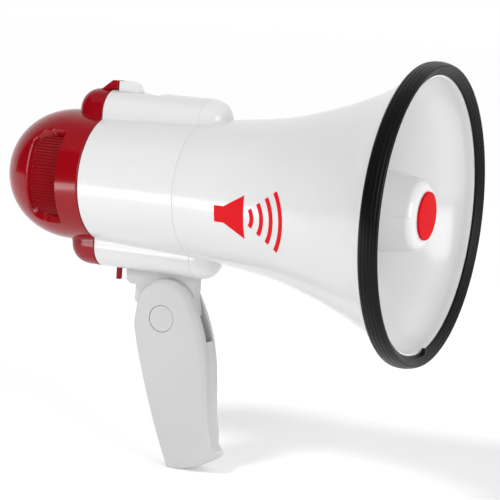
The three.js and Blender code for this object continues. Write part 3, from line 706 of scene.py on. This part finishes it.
def latch_spring():
    """The coil spring under the lug. The real one shortens as the lug is pressed; this one is fixed to the
    body at full length.
    """
    low, high = size_of("latch_spring")
    middle = np.array([(low[0] + high[0]) / 2, 0, 0])
    wire, play, coils = 0.28, 0.05, 5
    foot, head = low[2] + wire + play, high[2] - wire - play
    coil = (high[0] - low[0]) / 2 - wire - play
    rings = []
    for t in np.linspace(0, 1, 200):
        a = t * 2 * math.pi * coils
        out = np.array([math.cos(a), math.sin(a), 0])
        centre = middle + out * coil + np.array([0, 0, foot + (head - foot) * t])
        thick = wire if 0 < t < 1 else 0
        rings.append([centre + thick * (out * math.cos(b) + np.array([0, 0, math.sin(b)]))
                      for b in np.linspace(0, 2 * math.pi, 10, endpoint=False)])
    spring = fit(skin("latch_spring_coil", np.array(rings)), BODY, "steel", STEEL, "latch_spring")
    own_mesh(spring)


def mode_switch():
    """The red peg under the bottom ridge."""
    low, high = size_of("mode_switch")
    peg = block("mode_switch_peg", (low[0], high[0]), (low[1], high[1]), (low[2], high[2]), 0.4)
    fit(peg, "mode_switch", "red_shell", RED_SATIN, "mode_switch")


# ---- handle ------------------------------------------------------------------------------------


def grip_outline():
    """The grip seen from the side: round crown, bowed back, raked base, flared toe."""
    crown_x, crown_z, crown_r = -155.3, -71.6, 18.2
    crown = [(crown_x + crown_r * math.cos(a), crown_z + crown_r * math.sin(a))
             for a in np.radians(np.linspace(22, 178, 40))]
    rear = [(-173.5, -71.6), (-174.5, -80), (-172.4, -91), (-167.2, -109), (-158.4, -134.6),
            (-151.2, -152.3), (-148.0, -159.4)]
    front = [(-119.2, -146.2), (-121, -139.6), (-123.2, -130), (-125.2, -113), (-127.3, -96.5),
             (-130.8, -82), (-135, -71.5), (-138.2, -65.2)]
    rear_z = np.linspace(rear[0][1], rear[-1][1], 50)
    rear_x = curve_through(sorted((z, x) for x, z in rear), rear_z)
    front_z = np.linspace(front[0][1], front[-1][1], 50)
    front_x = curve_through(sorted((z, x) for x, z in front), front_z)
    base = round_corners([(-148.0, -159.4, 0), (-146.9, -161.85, 1.2), (-139, -161.8, 9),
                          (-127, -158.6, 14), (-119.6, -154.4, 12), (-114.6, -151.0, 1.6),
                          (-117, -148.6, 3), (-119.2, -146.2, 0)], 6)
    rear_line = list(zip(rear_x, rear_z))
    front_line = list(zip(front_x, front_z))
    return np.array(rear_line[1:-1] + [tuple(p) for p in base] + front_line[1:-1] + crown)


def grip_edges(outline, behind, ahead, foot):
    """The edge's radius round the grip: nearly sharp behind and below, full towards the front."""
    turn = np.clip((outline[:, 0] + 172.5) / 24, 0, 1)
    lower = np.clip((-outline[:, 1] - 88) / 60, 0, 1)
    front_radius = ahead + (foot - ahead) * lower
    on_rear = (outline[:, 1] < -74) & (outline[:, 0] < -130 - (outline[:, 1] + 160) * 0.45)
    radius = behind + (front_radius - behind) * turn
    radius = np.where(on_rear, behind, radius)
    radius = np.where(outline[:, 1] < -149.5, np.minimum(radius, 1.0), radius)
    for _ in range(6):
        radius = (np.roll(radius, 1) + 2 * radius + np.roll(radius, -1)) / 4
    return radius


def tongue_pocket():
    """Cutters for the slot that the bracket's tongue folds into."""
    px, pz = PIVOT
    back_wall, crown_z = -171.2, -70.0
    turns = np.radians(np.arange(0, 360, 4))
    bowl = [(px + BOWL_RADIUS * math.cos(a), pz + BOWL_RADIUS * math.sin(a)) for a in turns]
    bowl = np.array([(max(x, back_wall), z) for x, z in bowl])
    ahead = np.array([(px, pz - 14.2), (px + 19, pz - 14.2), (px + 34, pz - 7.8), (px + 34, pz + 32),
                      (px, pz + 32)])
    top = np.array([(-190, crown_z), (-120, crown_z), (-120, -40), (-190, -40)], float)
    return [slab("pocket", outline, -SLOT_HALF, SLOT_HALF) for outline in (bowl, ahead, top)]


def rake_far_front(obj):
    """Draws the far half's front edge back towards the foot, and its side of the toe most."""
    for vertex in obj.data.vertices:
        x, y, z = (np.array(vertex.co) - MOUTH) / MM
        out = max(0.0, y - PARTING_Y) / GRIP_HALF
        low = smooth((-100 - z) / 45) * smooth((x + 152) / 24)
        toe = smooth((-138 - z) / 14) * smooth((x + 134) / 16)
        x -= (1.8 * low + 4.2 * toe) * out
        vertex.co = Vector((np.array((x, y, z)) * MM + MOUTH).tolist())


def seat_cutter(face, side, radius, at):
    """A round cutter that sinks into one side of the grip."""
    y0, y1 = (face - 2, face + 1.7) if side == "near" else (face - 1.7, face + 2)
    return turned("seat", [(y0, 0), (y0, radius), (y1, radius), (y1, 0)], "y", at, 96, False)


def pivot_cap(side):
    """The round cover over the pivot, a little below the cheek's face."""
    low, high = size_of(f"pivot_cap_{side}")
    radius = (high[0] - low[0]) / 2
    way = -1 if side == "near" else 1
    skin_y = way * (GRIP_HALF - 0.12)
    root_y = skin_y - way * 1.1
    profile = round_corners([(root_y, 0, 0), (root_y, radius, 0), (skin_y, radius, 0.3), (skin_y, 0, 0)])
    cap = turned(f"pivot_cap_{side}_disc", profile, "y", PIVOT, 96, False)
    fit(cap, GRIP, "grey_shell", WHITE_SATIN, f"pivot_cap_{side}")


def grip():
    """The grip's two halves, closed over the bracket's tongue, and the covers over the pivot."""
    outline = grip_outline()
    screws = [(-150.5, -107), (-142, -131), (-134.5, -149.5)]
    bore = (PIVOT_HIGH[0] - PIVOT_LOW[0]) / 2 + 0.22
    near = grip_edges(outline, 0.7, 4.6, 2.0)
    far = grip_edges(outline, 1.2, 3.4, 3.4)
    for side, y0, y1, edge0, edge1 in [("near", -GRIP_HALF, PARTING_Y - PARTING_GAP, near, 0.0),
                                       ("far", PARTING_Y + PARTING_GAP, GRIP_HALF, 0.0, far)]:
        half = slab(f"grip_half_{side}", outline, y0, y1, edge0, edge1, 8, 30)
        face = y0 if side == "near" else y1
        if side == "far":
            rake_far_front(half)
        cutters = tongue_pocket() + [seat_cutter(face, side, bore, PIVOT)]
        if side == "far":
            cutters += [seat_cutter(face - 1, side, 3, at) for at in screws]
        cut(half, *cutters)
        fit(half, GRIP, "grey_shell", WHITE_SATIN, f"handle_half_{side}")
        pivot_cap(side)


def bracket():
    """The plate under the housing, whose round tongue the grip turns on. It has no bore for the bolt."""
    px, pz = PIVOT
    turns = np.radians(np.linspace(180, 300, 16))
    end = [(px + TONGUE_RADIUS * math.cos(a), pz + TONGUE_RADIUS * math.sin(a), 0) for a in turns]
    corners = [(-185, -50.8, 0), (-184.3, -57.6, 1.8), (-181.6, -59.4, 1.5), (-178, -59.4, 0.8),
               (-178, -69.6, 1.0), (-170.6, -69.6, 0), *end, (-136.9, pz + 3.4, 1.0),
               (-137.4, -69.5, 2.0), (-139.0, -63.0, 3.0), (-139.0, -50.8, 0)]
    plate = slab("grip_bracket", round_corners(corners), -BRACKET_HALF, BRACKET_HALF, 0.7, 0.7)
    fit(plate, BODY, "grey_shell", WHITE_SATIN, "handle_bracket")


# ---- the printed mark: a plain loudspeaker sign ------------------------------------------------


def mark(side):
    """A red loudspeaker sign printed on the horn, laid on its curved side."""
    middle = (-93.0, -8.0)
    proud, sunk, stroke = 0.12, -0.4, 1.3

    def on_horn(u, v, lift):
        x = middle[0] + u
        r = horn_radius([x])[0] + lift
        z = middle[1] + v
        return (x, side * math.sqrt(max(r * r - z * z, 1)), z)

    shapes = []
    cone = []
    for u in [*np.linspace(-19, -13, 6), *np.linspace(-12.5, 0, 14)]:
        half = 4.6 if u <= -13 else 4.6 + 7.4 * (u + 13) / 13
        cone.append([(u, half * t) for t in np.linspace(-1, 1, 16)])
    shapes.append(cone)
    for radius in (8.5, 15, 21.5, 28):
        spread = np.linspace(math.radians(-35), math.radians(35), 28)
        shapes.append([[(-3 + r * math.cos(a), r * math.sin(a)) for a in spread]
                       for r in np.linspace(radius - stroke, radius + stroke, 5)])
    points, faces = [], []
    for rows in shapes:
        count = len(rows[0])
        for lift in (proud, sunk):
            start = len(points)
            points += [on_horn(u, v, lift) for row in rows for u, v in row]
            for i in range(len(rows) - 1):
                for k in range(count - 1):
                    here, beyond = start + i * count + k, start + (i + 1) * count + k
                    faces.append((here, here + 1, beyond + 1, beyond))
        size = len(rows) * count
        top, under = len(points) - 2 * size, len(points) - size
        rim = list(range(count)) + [count * (i + 1) - 1 for i in range(1, len(rows))]
        rim += [size - 1 - k for k in range(1, count)] + [count * i for i in range(len(rows) - 2, 0, -1)]
        faces += [(top + a, top + b, under + b, under + a) for a, b in zip(rim, rim[1:] + rim[:1])]
    sign = build("sign_near" if side < 0 else "sign_far", points, faces)
    fit(sign, BODY, "red_badge", RED_INK)


# ---- scene -------------------------------------------------------------------------------------


def backdrop():
    """A white studio, dark only towards the near left, so the glossy red reads deep."""
    world = bpy.data.worlds.new("studio")
    world.use_nodes = True
    nodes, links = world.node_tree.nodes, world.node_tree.links
    place = nodes.new("ShaderNodeTexCoord")
    facing = nodes.new("ShaderNodeVectorMath")
    facing.operation = "DOT_PRODUCT"
    facing.inputs[1].default_value = (-0.35, -0.76, 0.55)
    shades = nodes.new("ShaderNodeValToRGB")
    shades.color_ramp.interpolation = "EASE"
    shades.color_ramp.elements[0].position = 0.0
    shades.color_ramp.elements[0].color = (1, 1, 1, 1)
    shades.color_ramp.elements[1].position = 0.7
    shades.color_ramp.elements[1].color = (WORLD_NEAR, WORLD_NEAR, WORLD_NEAR, 1)
    links.new(place.outputs["Generated"], facing.inputs[0])
    links.new(facing.outputs["Value"], shades.inputs["Fac"])
    links.new(shades.outputs["Color"], nodes["Background"].inputs["Color"])
    nodes["Background"].inputs["Strength"].default_value = 1.0
    return world


def black_flags(floor_z):
    """Black cloth in front and to the left, seen only in reflections, that deepens the gloss."""
    left, right, near, table, top = -1.9, 1.6, -1.8, -0.56, 1.9
    corners = [(left, table, floor_z + 0.001), (right, table, floor_z + 0.001),
               (right, near, floor_z + 0.001), (left, near, floor_z + 0.001),
               (right, near, top), (left, near, top), (left, 0.1, floor_z + 0.001), (left, 0.1, top)]
    mesh = bpy.data.meshes.new("black_flags")
    mesh.from_pydata(corners, [], [(0, 1, 2, 3), (3, 2, 4, 5), (3, 5, 7, 6)])
    flags = bpy.data.objects.new("black_flags", mesh)
    bpy.context.scene.collection.objects.link(flags)
    flags.data.materials.append(material("black_cloth", (0.004, 0.004, 0.004), 0.95, specular=0.0))
    for ray in ("camera", "diffuse", "shadow", "transmission", "volume_scatter"):
        setattr(flags, "visible_" + ray, False)


def studio():
    """A pale floor, soft lights and the camera."""
    floor_z = cad_low[2]
    mesh = bpy.data.meshes.new("floor")
    reach = 60.0
    mesh.from_pydata([(-reach, -reach, floor_z), (reach, -reach, floor_z), (reach, reach, floor_z),
                      (-reach, reach, floor_z)], [], [(0, 1, 2, 3)])
    floor = bpy.data.objects.new("floor", mesh)
    bpy.context.scene.collection.objects.link(floor)
    floor.data.materials.append(material("pale_floor", (0.85, 0.85, 0.85), 0.9, mottle=0.003, glow=0.175))
    black_flags(floor_z)

    bpy.context.scene.world = backdrop()
    bpy.context.scene.view_settings.view_transform = "Standard"

    target = Vector(MOUTH.tolist()) + Vector((-0.13, 0, -0.04))

    def softbox(name, place, size, power):
        light = bpy.data.lights.new(name, "AREA")
        light.shape = "RECTANGLE"
        light.size, light.size_y = size
        light.energy = power
        obj = bpy.data.objects.new(name, light)
        obj.location = target + Vector(place)
        obj.rotation_euler = (target - obj.location).to_track_quat("-Z", "Y").to_euler()
        obj.visible_camera = False
        bpy.context.scene.collection.objects.link(obj)

    softbox("low_panel", (-0.23, -0.38, -0.16), (0.24, 0.24), 1.3)
    sun = bpy.data.lights.new("key", "SUN")
    sun.energy = 1.5
    sun.angle = math.radians(14)
    key = bpy.data.objects.new("key", sun)
    key.rotation_euler = Vector((0.3, 0.8, -0.9)).to_track_quat("-Z", "Y").to_euler()
    key.visible_glossy = False
    bpy.context.scene.collection.objects.link(key)
    softbox("bell_fill", (1.1, -0.55, 0.35), (0.8, 0.8), 7.5)

    camera_data = bpy.data.cameras.new("camera")
    camera_data.sensor_width = 36
    camera_data.lens = 136.8
    camera_data.clip_end = 20
    camera = bpy.data.objects.new("camera", camera_data)
    azimuth, elevation, roll = math.radians(25.15), math.radians(7.21), math.radians(4.32)
    back = Vector((math.sin(azimuth) * math.cos(elevation), -math.cos(azimuth) * math.cos(elevation),
                   math.sin(elevation)))
    level = Vector((math.cos(azimuth), math.sin(azimuth), 0))
    upright = back.cross(level)
    right = level * math.cos(roll) + upright * math.sin(roll)
    up = upright * math.cos(roll) - level * math.sin(roll)
    spot = Vector(MOUTH.tolist()) + Vector((344.4, -963.9, 103.5)) * MM
    camera.matrix_world = Matrix.Translation(spot) @ Matrix((right, up, back)).transposed().to_4x4()
    bpy.context.scene.collection.objects.link(camera)
    bpy.context.scene.camera = camera


studio()
horn()
housing()
rear_cap()
volume_ring()
mic_grille()
bell_rim()
rim_nub()
reflector_cup()
nose_badge()
latch_button()
latch_spring()
mode_switch()
grip()
bracket()
mark(-1)
mark(1)

for entry in frame["record"]["subparts"]:
    node = frame["nodes"][entry["node"]]
    for material_slot in node.material_slots:
        material_slot.material = FINISHES[entry["material_slot"]]
